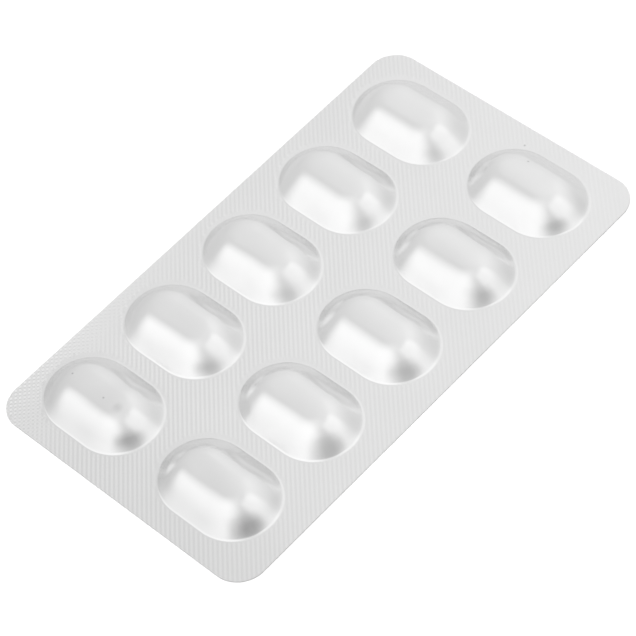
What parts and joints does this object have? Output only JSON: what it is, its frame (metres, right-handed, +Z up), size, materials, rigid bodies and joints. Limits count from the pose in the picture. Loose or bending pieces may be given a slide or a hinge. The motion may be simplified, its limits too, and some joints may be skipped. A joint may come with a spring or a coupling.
{
  "type": "pill blister pack",
  "caption": "Cold-formed aluminium blister pack: a thin knurled foil flange with rounded corners and sealed capsule-shaped pockets on top, closed by a flat lidding foil underneath.",
  "frame": {"origin": "middle of the flat underside, in the plane that the pack rests on", "axes": "+X across the two columns of pockets, along each pocket's length; +Y along the rows, the pack's long side; +Z up, out of the pocket side"},
  "size_m": [0.0572, 0.1, 0.0046],
  "materials": {
    "foil": "satin soft-temper aluminium laminate, knurled where it is heat-sealed"
  },
  "bodies": {
    "root": {"blister_pack": "foil"}
  },
  "joints": []
}
